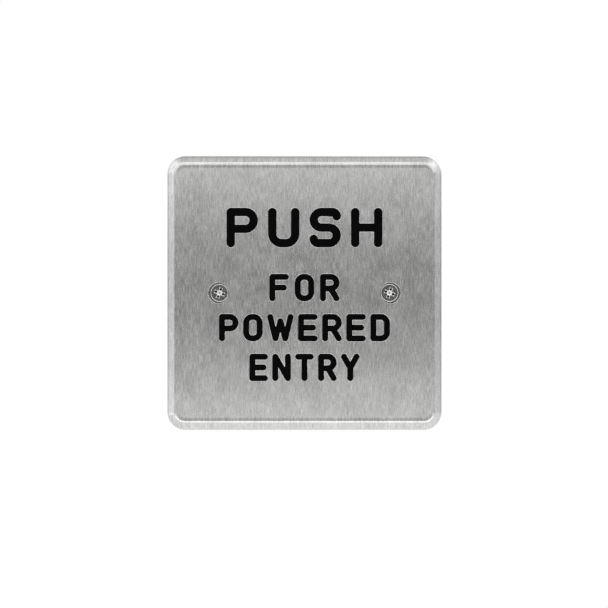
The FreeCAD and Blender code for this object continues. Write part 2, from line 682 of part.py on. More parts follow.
def bracket_rivet(x):
    head_foot, head_top, head_height = RIVET_HEAD
    tail_foot, tail_top, tail_height = RIVET_TAIL
    head_y = BACK_FRONT_Y - head_height
    foot_rear_y = BACK_REAR_Y + BRACKET_SHEET
    tail_y = foot_rear_y + tail_height
    return turned([
        (0, head_y),
        (head_top, head_y),
        (head_foot, BACK_FRONT_Y),
        (RIVET_RADIUS, BACK_FRONT_Y),
        (RIVET_RADIUS, foot_rear_y),
        (tail_foot, foot_rear_y),
        (tail_top, tail_y),
        (0, tail_y),
    ], x, RIVET_Z)


def fixing_screw(x, y):
    radius, height = FIXING_HEAD
    slot_width, slot_depth = FIXING_SLOT
    top_z = COVER_Z + height
    shank = cross_pin(FIXING_SHANK, (FIXING_END_Z, COVER_Z), x, y)
    head = cross_pin(radius, (COVER_Z, top_z), x, y)
    slot = block((x - radius - PAST, x + radius + PAST), (y - slot_width / 2, y + slot_width / 2),
                 (top_z - slot_depth, top_z + PAST))
    return joined([shank, head]).cut(slot)


def fixing_nut(x, y):
    top_z = CASE_Z[0] - BRACKET_SHEET
    low_z = top_z - NUT_THICK
    radius = NUT_ACROSS_FLATS / math.sqrt(3)
    turns = [math.radians(60 * k) for k in range(7)]
    corners = [Vector(x + radius * math.cos(turn), y + radius * math.sin(turn), low_z) for turn in turns]
    nut = Part.Face(Part.makePolygon(corners)).extrude(Vector(0, 0, NUT_THICK))
    return nut.cut(cross_pin(FIXING_SHANK, (low_z - PAST, top_z + PAST), x, y))


def striker_stud():
    radius, length = STRIKER_STUD
    inner_y = FRONT_Y + SHEET
    return rod(radius, (inner_y, inner_y + length), STRIKER_X)


def striker_cap():
    """Domed nylon cap on the stud, the part that meets the lever."""
    ball = Part.makeSphere(STRIKER_RADIUS, Vector(STRIKER_X, STRIKER_TIP_Y - STRIKER_RADIUS, 0))
    keep = rod(STRIKER_RADIUS + PAST, (FRONT_Y + SHEET, STRIKER_TIP_Y + PAST), STRIKER_X)
    return ball.common(keep).cut(striker_stud())


# ---------------------------------------------------------------- every part
def main():
    os.makedirs("parts", exist_ok=True)
    letters = []
    for number, row in enumerate(LEGEND, 1):
        letters += legend_row(*row, (FRONT_Y - PAST, FRONT_Y + CUT_DEPTH))
        save("legend_line_%d" % number,
             group(legend_row(*row, (FRONT_Y + PAINT_SINK, FRONT_Y + CUT_DEPTH))))
    save("face_plate", face_plate(letters))
    save("spring_studs", group([spring_stud(x, z) for x, z in corner_places(SPRING_AT)]))
    save("striker_stud", striker_stud())
    save("striker_cap", striker_cap())

    for side, x in (("left", -SCREW_X), ("right", SCREW_X)):
        save("face_screw_" + side, face_screw(x))
        save("standoff_" + side, standoff(x))
        save("guide_bush_" + side, guide_bush(x))

    save("back_plate", back_plate())
    save("wall_seal", wall_seal())
    save("spring_posts", group([spring_post(x, z) for x, z in corner_places(SPRING_AT)]))
    names = ("upper_left", "upper_right", "lower_left", "lower_right")
    for name, (x, z) in zip(names, corner_places(SPRING_AT)):
        save("return_spring_" + name, return_spring(x, z))
    for name, (x, z) in zip(names, bumper_places()):
        save("bumper_" + name, bumper(x, z))

    fitted = terminals()
    for name, shape in fitted.items():
        save(name, shape)
    save("switch_case", case_tray(list(fitted.values())))
    save("switch_cover", case_cover())
    save("switch_lever", lever())
    save("lever_pin", lever_pin())
    save("switch_plunger", plunger())
    save("contact_blade", contact_blade())
    save("switch_bracket", bracket())
    save("bracket_rivets", group([bracket_rivet(x) for x in (-RIVET_X, RIVET_X)]))
    save("switch_screws", group([fixing_screw(x, y) for x, y in FIXING_HOLES]))
    save("switch_nuts", group([fixing_nut(x, y) for x, y in FIXING_HOLES]))


main()
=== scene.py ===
import math

import bmesh
import bpy
import mathutils
import numpy as np
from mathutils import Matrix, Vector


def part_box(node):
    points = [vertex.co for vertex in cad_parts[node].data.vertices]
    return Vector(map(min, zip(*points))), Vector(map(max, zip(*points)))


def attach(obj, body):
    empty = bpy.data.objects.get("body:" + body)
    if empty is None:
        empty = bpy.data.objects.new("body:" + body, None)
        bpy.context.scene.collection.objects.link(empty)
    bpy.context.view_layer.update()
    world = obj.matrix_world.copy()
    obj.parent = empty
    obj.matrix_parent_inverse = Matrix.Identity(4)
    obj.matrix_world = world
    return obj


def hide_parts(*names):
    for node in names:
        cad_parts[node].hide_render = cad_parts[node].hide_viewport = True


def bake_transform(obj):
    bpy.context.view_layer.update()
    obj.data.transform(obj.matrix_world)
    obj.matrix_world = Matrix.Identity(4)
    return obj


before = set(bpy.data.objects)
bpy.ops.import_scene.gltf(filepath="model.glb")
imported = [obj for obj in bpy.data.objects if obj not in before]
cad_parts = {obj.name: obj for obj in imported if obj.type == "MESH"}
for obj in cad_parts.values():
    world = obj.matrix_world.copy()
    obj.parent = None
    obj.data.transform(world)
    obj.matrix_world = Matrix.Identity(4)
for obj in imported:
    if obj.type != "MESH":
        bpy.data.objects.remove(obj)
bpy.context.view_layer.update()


# ---------------------------------------------------------------- studio
# A white tent with a darker opening behind the camera, four soft lights, and a
# pale floor well below the plate. None of it is part of the object.
MM = 0.001
CAMERA_BACK = 0.60              # from the face of the plate to the lens
FRAME_WIDTH = 252.1 * MM        # width of what the camera sees at the plate
CAMERA_AIM = (-0.2 * MM, -4.6 * MM)
FLOOR_Z = -0.45
FLOOR_RADIUS = 1.5
FLOOR_SIDES = 96
# Brightness of the tent against how far forward a ray points, 0 sideways to 1 at the camera.
WALL_RAMP = ((0.0, 1.15), (0.15, 1.45), (0.34, 1.80), (0.52, 1.25), (0.70, 1.00), (0.87, 1.36), (1.0, 1.36))
WALL_PEAK = max(strength for _, strength in WALL_RAMP)
WALL_SIDES = (("Z", 1, 0.46), ("Z", -1, 0.78), ("X", 1, 0.72), ("X", -1, 0.97))    # share left at each side
WALL_TURN = (0.72, 0.93)        # where that share starts and where it is reached
BAND_HEIGHT = 0.010             # d.z of the middle of the dark band, and how far it fades from there
BAND_HALF = 0.15
BAND_TURN = (0.50, 0.88)        # -d.y where the band starts and where it is full
BAND_BESIDE = 0.5               # how much of it is left to either side

plate_low, plate_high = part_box("face_plate")
FRONT = plate_low.y
HALF = plate_high.x

camera = bpy.data.objects.new("camera", bpy.data.cameras.new("camera"))
bpy.context.scene.collection.objects.link(camera)
camera.location = (CAMERA_AIM[0], FRONT - CAMERA_BACK, CAMERA_AIM[1])
camera.rotation_euler = (math.pi / 2, 0, 0)
camera.data.sensor_width = 36.0
camera.data.lens = 36.0 * CAMERA_BACK / FRAME_WIDTH
camera.data.clip_start = 0.01
bpy.context.scene.camera = camera
bpy.context.scene.view_settings.view_transform = "Standard"


def node(tree, kind, **values):
    """Add one node and set its properties; inputs are given as in_NAME with _ for a space."""
    made = tree.nodes.new(kind)
    for name, value in values.items():
        if name.startswith("in_"):
            made.inputs[name[3:].replace("_", " ")].default_value = value
        else:
            setattr(made, name, value)
    return made


def combined(tree, kind, first, second):
    """One arithmetic node on a socket and either a number or another socket."""
    joined = node(tree, "ShaderNodeMath", operation=kind)
    tree.links.new(first, joined.inputs[0])
    if isinstance(second, float):
        joined.inputs[1].default_value = second
    else:
        tree.links.new(second, joined.inputs[1])
    return joined.outputs[0]


def white_tent():
    """White walls as seen from the object, dimmer to each side, with a dark band behind the camera.

    With d the ray's direction, the wall follows a ramp over -d.y. Towards each side it is multiplied
    by that side's share, and the band takes away smooth(-d.y) x (1 - smooth(|d.z - BAND_HEIGHT|)).
    """
    world = bpy.data.worlds.new("tent")
    world.use_nodes = True
    bpy.context.scene.world = world
    tree = world.node_tree
    tree.nodes.clear()
    link = tree.links.new
    place = node(tree, "ShaderNodeTexCoord")
    parts = node(tree, "ShaderNodeSeparateXYZ")
    link(place.outputs["Generated"], parts.inputs[0])

    def smooth(value, start, end, low=0.0, high=1.0):
        ranged_value = node(tree, "ShaderNodeMapRange", interpolation_type="SMOOTHSTEP",
                            in_From_Min=start, in_From_Max=end, in_To_Min=low, in_To_Max=high)
        link(value, ranged_value.inputs["Value"])
        return ranged_value.outputs[0]

    forward = combined(tree, "MULTIPLY", parts.outputs["Y"], -1.0)
    wall = node(tree, "ShaderNodeFloatCurve")
    wall.mapping.extend = "HORIZONTAL"
    curve = wall.mapping.curves[0]
    for at, value in WALL_RAMP[1:-1]:
        curve.points.new(at, value / WALL_PEAK)
    for point, (at, value) in zip((curve.points[0], curve.points[-1]), (WALL_RAMP[0], WALL_RAMP[-1])):
        point.location = (at, value / WALL_PEAK)
    wall.mapping.update()
    link(forward, wall.inputs["Value"])
    level = combined(tree, "MULTIPLY", wall.outputs[0], WALL_PEAK)
    for axis, side, share in WALL_SIDES:
        dimmed = smooth(parts.outputs[axis], side * WALL_TURN[0], side * WALL_TURN[1], 1.0, share)
        level = combined(tree, "MULTIPLY", level, dimmed)
    height = combined(tree, "SUBTRACT", parts.outputs["Z"], BAND_HEIGHT)
    height = combined(tree, "ABSOLUTE", height, 0.0)
    band = combined(tree, "MULTIPLY", smooth(forward, *BAND_TURN, BAND_BESIDE, 1.0),
                    smooth(height, BAND_HALF, 0.0))
    dark = node(tree, "ShaderNodeMix", data_type="FLOAT", in_B=0.0)
    link(band, dark.inputs["Factor"])
    link(level, dark.inputs["A"])
    seen = node(tree, "ShaderNodeLightPath")
    shown = node(tree, "ShaderNodeMix", data_type="FLOAT", in_B=1.0)
    link(seen.outputs["Is Camera Ray"], shown.inputs["Factor"])
    link(dark.outputs["Result"], shown.inputs["A"])
    light = node(tree, "ShaderNodeBackground", in_Color=(1, 1, 1, 1))
    out = node(tree, "ShaderNodeOutputWorld")
    link(shown.outputs["Result"], light.inputs["Strength"])
    link(light.outputs[0], out.inputs[0])


def softbox(name, place, width, height, radiance, mirrored=True):
    """A rectangular area light facing the middle of the object; power = radiance x pi x area.

    A light that is not mirrored does not show as a glint in the metal.
    """
    lamp = bpy.data.lights.new(name, "AREA")
    lamp.shape = "RECTANGLE"
    lamp.size = width
    lamp.size_y = height
    lamp.energy = radiance * math.pi * width * height
    holder = bpy.data.objects.new(name, lamp)
    holder.location = place
    holder.rotation_euler = (-mathutils.Vector(place)).to_track_quat("-Z", "Y").to_euler()
    holder.visible_camera = False
    holder.visible_glossy = mirrored
    bpy.context.scene.collection.objects.link(holder)


def welded(mesh, joined_flats=False):
    """Join points that lie within two thousandths of a millimetre and turn all faces outward.

    With joined_flats, triangles that lie in one plane also become one face.
    """
    shell = bmesh.new()
    shell.from_mesh(mesh)
    bmesh.ops.remove_doubles(shell, verts=shell.verts, dist=0.002 * MM)
    if joined_flats:
        bmesh.ops.dissolve_limit(shell, angle_limit=math.radians(1), verts=shell.verts, edges=shell.edges)
    else:
        bmesh.ops.dissolve_degenerate(shell, edges=shell.edges, dist=0.0001 * MM)
    bmesh.ops.recalc_face_normals(shell, faces=shell.faces)
    shell.to_mesh(mesh)
    shell.free()


def placed(name, mesh):
    """Put a finished mesh into the scene, at the origin."""
    piece = bpy.data.objects.new(name, mesh)
    bpy.context.scene.collection.objects.link(piece)
    return piece


def new_piece(name, points, faces, smooth=True, glint_and_pit_shade=None):
    """Make a mesh piece from arrays of points and faces, with a value for each point if it has one."""
    mesh = bpy.data.meshes.new(name)
    mesh.from_pydata(np.asarray(points).tolist(), [], np.asarray(faces).tolist())
    if glint_and_pit_shade is not None:
        mesh.attributes.new("glint_and_pit_shade", "FLOAT", "POINT").data.foreach_set("value", glint_and_pit_shade)
    welded(mesh)
    mesh.polygons.foreach_set("use_smooth", np.full(len(mesh.polygons), smooth))
    return placed(name, mesh)


def new_material(name):
    """A node material with one Principled shader; gives (material, tree, shader)."""
    material = bpy.data.materials.new(name)
    material.use_nodes = True
    tree = material.node_tree
    return material, tree, tree.nodes["Principled BSDF"]


def even_noise(tree, scale, detail):
    """Noise fixed to the object, the same in every direction."""
    place = node(tree, "ShaderNodeTexCoord")
    noise = node(tree, "ShaderNodeTexNoise", in_Scale=scale, in_Detail=detail)
    tree.links.new(place.outputs["Object"], noise.inputs["Vector"])
    return noise.outputs["Fac"]


def pale_floor():
    """A flat disc, its colour broken by a very faint large mottle."""
    turn = np.linspace(0, 2 * math.pi, FLOOR_SIDES, endpoint=False)
    rim = np.column_stack((np.cos(turn) * FLOOR_RADIUS, np.sin(turn) * FLOOR_RADIUS,
                           np.full(FLOOR_SIDES, FLOOR_Z)))
    disc = new_piece("floor", rim, [np.arange(FLOOR_SIDES)], smooth=False)
    material, tree, shader = new_material("floor_paint")
    shade = node(tree, "ShaderNodeMapRange", in_To_Min=0.90, in_To_Max=0.94)
    tree.links.new(even_noise(tree, 3.0, 3.0), shade.inputs["Value"])
    tree.links.new(shade.outputs[0], shader.inputs["Base Color"])
    shader.inputs["Roughness"].default_value = 0.9
    disc.data.materials.append(material)


white_tent()
softbox("key_light", (0.0, -0.75, 1.1), 1.4, 0.7, 0.5)
softbox("low_card", (0.0, -0.80, -0.36), 1.2, 0.16, 1.5)
softbox("floor_light", (0.0, -0.30, 1.6), 1.6, 1.6, 0.55, mirrored=False)
softbox("rear_light", (0.5, 1.2, 0.7), 1.0, 0.8, 1.2)
pale_floor()


# ---------------------------------------------------------------- face plate
# One sheet of stainless steel 1.5 mm thick, ground with a vertical grain and
# pressed into a square pan with a bevel all round. The letters are cut into the
# front, and a seat for each screw head is sunk through the sheet. The cone of
# each seat is painted near black, as shade, and the walls of the cuts are dark
# as their enamel.
SHEET = 1.5 * MM
FLAT_HALF = 53.2 * MM
CORNER = 7.6 * MM
EDGE_ANGLE = math.radians(35)
BEND_FRONT = 2.0 * MM
BEND_SKIRT = 2.2 * MM
RIM_ROUND = 0.3 * MM
LIP_WIDTH = 1.5 * MM            # the flat rises to a faint lip just before the bend
LIP_HEIGHT = 0.022 * MM
FACE = FRONT + LIP_HEIGHT
SEAT_STEPS = 96                 # stops round each screw seat
SEAT_RIM = 4.35 * MM
SEAT_HOLE = 2.9 * MM
SEAT_ANGLE = math.radians(41)
SEAT_BACK = -14.3 * MM
SEAT_BACK_ROWS = 5              # rows of its section that belong to the back of the sheet
SEAT_ROLL = 0.18 * MM           # radius where the sheet turns into the seat
SEAT_LIP = 1.2 * MM             # width of the flat round the hole, behind
SEAT_SHADE_DEPTH = 0.06 * MM           # the cone of a seat is painted dark, as shade, from about this depth
SEAT_LEAN = 0.32 * MM           # each seat was sunk slightly outward of its screw
SEAT_LEAN_DEPTH = 1.4 * MM      # and is back on centre at this depth
CUT_ROLL = 0.20 * MM            # how far the sheet rolls in at the edge of each cut
CUT_DEPTH = 0.35 * MM
CUT_ENAMEL_DEPTH = 0.25 * MM            # and the wall of a cut is dark, as its enamel, from about this one
GRAIN_WHOLE = 2.85              # the weights of the grain's layers are parts of this
LEGEND_ROWS = ["legend_line_1", "legend_line_2", "legend_line_3", "legend_line_4"]
SIDES = ("left", "right")


def grid_faces(rows, columns):
    """Quads over a grid of points numbered row by row, its last column joined to its first."""
    row = np.arange(rows - 1)[:, None]
    column = np.arange(columns)[None, :]
    next_column = (column + 1) % columns
    corners = (row * columns + column, row * columns + next_column,
               (row + 1) * columns + next_column, (row + 1) * columns + column)
    return np.stack([np.broadcast_to(c, (row.size, column.size)).ravel() for c in corners], 1)


def arc(centre, radius, start, end, steps):
    """Points (out, y) round a centre; the angle is measured from straight forward to straight out."""
    angle = np.linspace(start, end, steps + 1)
    return np.column_stack((centre[0] + radius * np.sin(angle), centre[1] - radius * np.cos(angle)))


def pan_profile():
    """Section of the pan's edge as (distance out from the corner centre, y), front to back."""
    reach = HALF - CORNER
    bend_1 = np.array((FLAT_HALF - reach, FRONT + BEND_FRONT))
    slope = (CORNER - BEND_SKIRT - bend_1[0] - (BEND_FRONT - BEND_SKIRT) * math.sin(EDGE_ANGLE))
    slope /= math.cos(EDGE_ANGLE)
    bend_2 = np.array((CORNER - BEND_SKIRT, bend_1[1] + slope * math.sin(EDGE_ANGLE)
                       - (BEND_FRONT - BEND_SKIRT) * math.cos(EDGE_ANGLE)))
    rim = plate_high.y
    quarter = math.pi / 2
    rise = np.linspace(0, 1, 11)[:-1]
    lip = np.column_stack((bend_1[0] - LIP_WIDTH * (1 - rise),
                           FACE - LIP_HEIGHT * (1 - np.cos(math.pi * rise)) / 2))
    outside = [[(lip[0, 0] - 0.2 * MM, FACE)],
               lip,
               arc(bend_1, BEND_FRONT, 0, EDGE_ANGLE, 10),
               arc(bend_2, BEND_SKIRT, EDGE_ANGLE, quarter, 14),
               arc((CORNER - RIM_ROUND, rim - RIM_ROUND), RIM_ROUND, quarter, 2 * quarter, 5)]
    inside = [arc((CORNER - SHEET + RIM_ROUND, rim - RIM_ROUND), RIM_ROUND,
                  2 * quarter, 3 * quarter, 5),
              arc(bend_2, BEND_SKIRT - SHEET, quarter, EDGE_ANGLE, 8),
              arc(bend_1, BEND_FRONT - SHEET, EDGE_ANGLE, 0, 6),
              [(lip[0, 0] - 0.2 * MM, FRONT + SHEET)]]
    return np.vstack(outside + inside)


def square_path(reach, corner_steps=24, side_steps=12):
    """Centre and outward direction at each stop round a square with round corners.

    The direction turns through each corner while the centre waits, then the centre runs along the side.
    """
    centres = []
    outward = []
    corners = np.array([(1, 1), (-1, 1), (-1, -1), (1, -1)]) * reach
    for quarter, here in enumerate(corners):
        turn = math.pi / 2 * (quarter + np.linspace(0, 1, corner_steps, endpoint=False))
        after = corners[(quarter + 1) % 4]
        outward.append(np.column_stack((np.cos(turn), np.sin(turn))))
        centres.append(np.tile(here, (corner_steps, 1)))
        along = np.linspace(0, 1, side_steps, endpoint=False)[:, None]
        end = math.pi / 2 * (quarter + 1)
        outward.append(np.tile((math.cos(end), math.sin(end)), (side_steps, 1)))
        centres.append(here + along * (after - here))
    return np.vstack(centres), np.vstack(outward)


def swept_ring(profile, reach):
    """Carry a profile round the square: point = centre + distance x outward, at the profile's y.

    Gives the points, the faces and the flat pattern place of each point, which uses the distance
    along the profile in place of the distance out.
    """
    centres, outward = square_path(reach)
    steps = np.linalg.norm(np.diff(profile, axis=0), axis=1)
    along = profile[0, 0] + np.concatenate(([0], np.cumsum(steps)))
    plan = centres[None] + profile[:, 0][:, None, None] * outward[None]
    level = np.broadcast_to(profile[:, 1][:, None, None], plan[..., :1].shape)
    points = np.concatenate((plan[..., :1], level, plan[..., 1:]), axis=2).reshape(-1, 3)
    pattern = (centres[None] + along[:, None, None] * outward[None]).reshape(-1, 2)
    faces = grid_faces(len(profile), len(centres))
    return points, faces[:, ::-1], pattern


def closed_loop(start, count):
    """Edges that join count points in turn, from number start, back to the first."""
    here = np.arange(count)
    return np.column_stack((start + here, start + (here + 1) % count))


def inside_count(places, edges_from, edges_to):
    """How many times a line to the right of each place crosses the edges, as an even-odd test."""
    x, z = places[:, :1], places[:, 1:]
    x1, z1 = edges_from.T
    x2, z2 = edges_to.T
    spans = (z1 > z) != (z2 > z)
    run = np.where(z2 == z1, 1.0, z2 - z1)
    return np.sum(spans & (x < x1 + (z - z1) * (x2 - x1) / run), axis=1)


def punched_sheet(loops, y):
    """Fill the flat area between outlines with triangles; a place is sheet if the count is odd.

    loops is a list of (points, edges); the result faces -Y.
    """
    starts = np.cumsum([0] + [len(points) for points, _ in loops])
    points = np.vstack([points for points, _ in loops])
    edges = np.vstack([edges + start for (_, edges), start in zip(loops, starts)])
    flat = [mathutils.Vector(p) for p in points]
    filled = mathutils.geometry.delaunay_2d_cdt(flat, edges.tolist(), [], 0, 1e-7)
    corners = np.array([tuple(v) for v in filled[0]])
    triangles = np.array(filled[2])
    middles = corners[triangles].mean(1)
    kept = inside_count(middles, points[edges[:, 0]], points[edges[:, 1]]) % 2 == 1
    triangles = triangles[kept]
    a, b, c = (corners[triangles[:, k]] for k in range(3))
    clockwise = (b - a)[:, 0] * (c - a)[:, 1] - (b - a)[:, 1] * (c - a)[:, 0] < 0
    triangles[clockwise] = triangles[clockwise][:, ::-1]
    level = np.full(len(corners), y)
    return np.column_stack((corners[:, 0], level, corners[:, 1])), triangles


def letter_outlines(name):
    """The outline of a row's painted front: edges that only one front triangle has.

    Gives the points (x, z), the edges, and at each point the sideways step that moves both of its
    edges out by one unit.
    """
    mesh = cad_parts[name].data
    mesh.calc_loop_triangles()
    places = np.array([tuple(point.co) for point in mesh.vertices])
    corners = np.array([tuple(triangle.vertices) for triangle in mesh.loop_triangles])
    front = np.all(places[corners][:, :, 1] < places[:, 1].min() + 0.01 * MM, axis=1)
    rounded, same = np.unique(np.round(places[:, ::2], 7), axis=0, return_inverse=True)
    triangles = same.ravel()[corners[front]]
    pairs = np.vstack([triangles[:, [0, 1]], triangles[:, [1, 2]], triangles[:, [2, 0]]])
    third = np.concatenate([triangles[:, 2], triangles[:, 0], triangles[:, 1]])
    ordered = np.sort(pairs, axis=1)
    _, first, times = np.unique(ordered, axis=0, return_index=True, return_counts=True)
    rim = first[times == 1]
    edges, third = pairs[rim], third[rim]
    used, numbered = np.unique(edges, return_inverse=True)
    along = rounded[edges[:, 1]] - rounded[edges[:, 0]]
    side = np.column_stack((-along[:, 1], along[:, 0])) / np.linalg.norm(along, axis=1)[:, None]
    inward = np.sum(side * (rounded[third] - rounded[edges[:, 0]]), axis=1) > 0
    side[inward] *= -1
    edges = numbered.reshape(-1, 2)
    total = np.zeros((len(used), 2))
    np.add.at(total, edges[:, 0], side)
    np.add.at(total, edges[:, 1], side)
    step = 2 * total / np.sum(total ** 2, axis=1)[:, None]
    return rounded[used], edges, step


def cut_wall(points, edges, step):
    """The rolled edge and wall of a cut: rings of the outline, each moved out and down.

    Ring k lies at out = roll x (1 - sin t), down = roll x (1 - cos t) for t from 0 to 90 degrees,
    and the last ring is the foot of the wall.
    """
    turn = np.linspace(0, math.pi / 2, 5)
    out = np.append(CUT_ROLL * (1 - np.sin(turn)), 0.0)
    down = np.append(CUT_ROLL * (1 - np.cos(turn)), CUT_DEPTH)
    rings = [np.column_stack((points[:, 0] + step[:, 0] * o, np.full(len(points), FACE + d),
                              points[:, 1] + step[:, 1] * o)) for o, d in zip(out, down)]
    count = len(points)
    faces = [np.column_stack((edges[:, 0] + k * count, edges[:, 1] + k * count,
                              edges[:, 1] + (k + 1) * count, edges[:, 0] + (k + 1) * count))
             for k in range(len(out) - 1)]
    return np.vstack(rings), np.vstack(faces)


def seat_profile():
    """Section of a sunk screw seat as (radius, y): rolled rim, cone, hole, and the pressed-out back."""
    cone_end = FRONT + (SEAT_RIM - SEAT_HOLE) / math.tan(SEAT_ANGLE)
    lip = SEAT_HOLE + SEAT_LIP
    back = FRONT + SHEET
    tilt = math.pi / 2 - SEAT_ANGLE
    tangent = SEAT_ROLL * math.tan(tilt / 2)
    turn = np.linspace(0, tilt, 6)
    rim = np.column_stack((SEAT_RIM + tangent - SEAT_ROLL * np.sin(turn),
                           FACE + SEAT_ROLL * (1 - np.cos(turn))))
    rest = [(SEAT_HOLE + 0.08 * MM, cone_end - 0.05 * MM), (SEAT_HOLE, cone_end + 0.08 * MM),
            (SEAT_HOLE, SEAT_BACK - 0.12 * MM), (SEAT_HOLE + 0.12 * MM, SEAT_BACK),
            (lip - 0.2 * MM, SEAT_BACK), (lip + 0.08 * MM, SEAT_BACK - 0.15 * MM),
            (lip + (SEAT_BACK - back) * math.tan(SEAT_ANGLE), back)]
    return np.vstack((rim, rest))


def spun(profile, x, z, segments, lean=0.0):
    """Spin (radius, y) points about the line through (x, z) along Y.

    lean moves the middle of each ring along X, one amount for all rings or one for each.
    """
    profile = np.asarray(profile)
    turn = np.linspace(0, 2 * math.pi, segments, endpoint=False)
    radius, level = profile[:, :1], profile[:, 1:]
    middle = x + np.broadcast_to(lean, len(profile))[:, None]
    points = np.stack((middle + radius * np.cos(turn), np.broadcast_to(level, (len(profile), segments)),
                       z + radius * np.sin(turn)), axis=2)
    return points.reshape(-1, 3), grid_faces(len(profile), segments)


def middle_of(name):
    """The middle of a CAD node's box, as (x, z)."""
    low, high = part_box(name)
    return (low.x + high.x) / 2, (low.z + high.z) / 2


def face_plate():
    """All the surfaces of the pan, numbered one after another and welded along their outlines."""
    reach = HALF - CORNER
    profile = pan_profile()
    ring, ring_faces, ring_pattern = swept_ring(profile, reach)
    round_count = len(ring) // len(profile)
    seat = seat_profile()
    seat_depth = np.clip((seat[:, 1] - FRONT) / SEAT_LEAN_DEPTH, 0, 1)
    parts = [(ring, ring_faces, True)]
    outlines = [(ring[:round_count, ::2], closed_loop(0, round_count))]
    inner_outlines = [(ring[-round_count:, ::2], closed_loop(0, round_count))]
    for side in SIDES:
        lean = SEAT_LEAN * (1 - seat_depth) * (-1 if side == "left" else 1)
        points, faces = spun(seat, *middle_of("face_screw_" + side), SEAT_STEPS, lean)
        parts.append((points, faces, True))
        outlines.append((points[:SEAT_STEPS, ::2], closed_loop(0, SEAT_STEPS)))
        inner_outlines.append((points[-SEAT_STEPS:, ::2], closed_loop(0, SEAT_STEPS)))
    floors = []
    for row in LEGEND_ROWS:
        points, edges, step = letter_outlines(row)
        parts.append((*cut_wall(points, edges, step), True))
        outlines.append((points + step * CUT_ROLL, edges))
        floors.append((points, edges))
    parts.append((*punched_sheet(outlines, FACE), False))
    parts.append((*punched_sheet(floors, FACE + CUT_DEPTH), False))
    back_points, back_faces = punched_sheet(inner_outlines, FRONT + SHEET)
    parts.append((back_points, back_faces[:, ::-1], False))

    starts = np.cumsum([0] + [len(points) for points, _, _ in parts])
    # painted shade: the seat cones go near black with depth; the letter walls go dark as their enamel
    seat_shade_and_cut_enamel = np.zeros(starts[-1])
    for number in range(1, len(SIDES) + len(LEGEND_ROWS) + 1):
        is_seat = number <= len(SIDES)
        depth = parts[number][0][:, 1] - FACE
        if is_seat:
            depth = depth[:-SEAT_BACK_ROWS * SEAT_STEPS]
        shade_and_enamel = np.clip(depth / (SEAT_SHADE_DEPTH if is_seat else CUT_ENAMEL_DEPTH) - 0.3, 0, 1)
        seat_shade_and_cut_enamel[starts[number]:starts[number] + len(depth)] = shade_and_enamel
    points = np.vstack([points for points, _, _ in parts])
    faces = [face for (_, made, _), start in zip(parts, starts) for face in (made + start).tolist()]
    smooth = np.concatenate([np.full(len(made), soft) for _, made, soft in parts])
    pattern = points[:, ::2].copy()
    pattern[:len(ring_pattern)] = ring_pattern

    mesh = bpy.data.meshes.new("brushed_face_plate")
    mesh.from_pydata(points.tolist(), [], faces)
    layer = mesh.uv_layers.new(name="sheet")
    corner_points = np.empty(len(mesh.loops), int)
    mesh.loops.foreach_get("vertex_index", corner_points)
    layer.data.foreach_set("uv", (pattern[corner_points] / (2 * HALF) + 0.5).ravel())
    mesh.attributes.new("seat_shade_and_cut_enamel", "FLOAT", "POINT").data.foreach_set("value", seat_shade_and_cut_enamel)
    mesh.polygons.foreach_set("use_smooth", smooth)
    welded(mesh)
    return placed("brushed_face_plate", mesh)


def grain(tree, coordinates, stretch, scale, detail):
    """Noise of this scale on coordinates that are first multiplied by stretch, one factor each way."""
    spread = node(tree, "ShaderNodeMapping", in_Scale=stretch)
    noise = node(tree, "ShaderNodeTexNoise", in_Scale=scale, in_Detail=detail, in_Roughness=0.6)
    tree.links.new(coordinates, spread.inputs["Vector"])
    tree.links.new(spread.outputs[0], noise.inputs["Vector"])
    return noise.outputs["Fac"]


def ranged(tree, value, low, high, from_low=0.3, from_high=0.7):
    """Spread a noise value over the range low to high."""
    spread = node(tree, "ShaderNodeMapRange", in_From_Min=from_low, in_From_Max=from_high,
                  in_To_Min=low, in_To_Max=high)
    tree.links.new(value, spread.inputs["Value"])
    return spread.outputs[0]


def blended(tree, factor, dark, light):
    """Mix two colours, each a triple or a socket, by a factor between 0 and 1."""
    mixed = node(tree, "ShaderNodeMix", data_type="RGBA")
    tree.links.new(factor, mixed.inputs["Factor"])
    for name, colour in (("A", dark), ("B", light)):
        if isinstance(colour, tuple):
            mixed.inputs[name].default_value = (*colour, 1)
        else:
            tree.links.new(colour, mixed.inputs[name])
    return mixed.outputs["Result"]


def bumped(tree, shader, height, depth):
    """Raise the surface by up to depth metres where height is 1."""
    bump = node(tree, "ShaderNodeBump", in_Distance=depth, in_Strength=1.0)
    tree.links.new(height, bump.inputs["Height"])
    tree.links.new(bump.outputs[0], shader.inputs["Normal"])


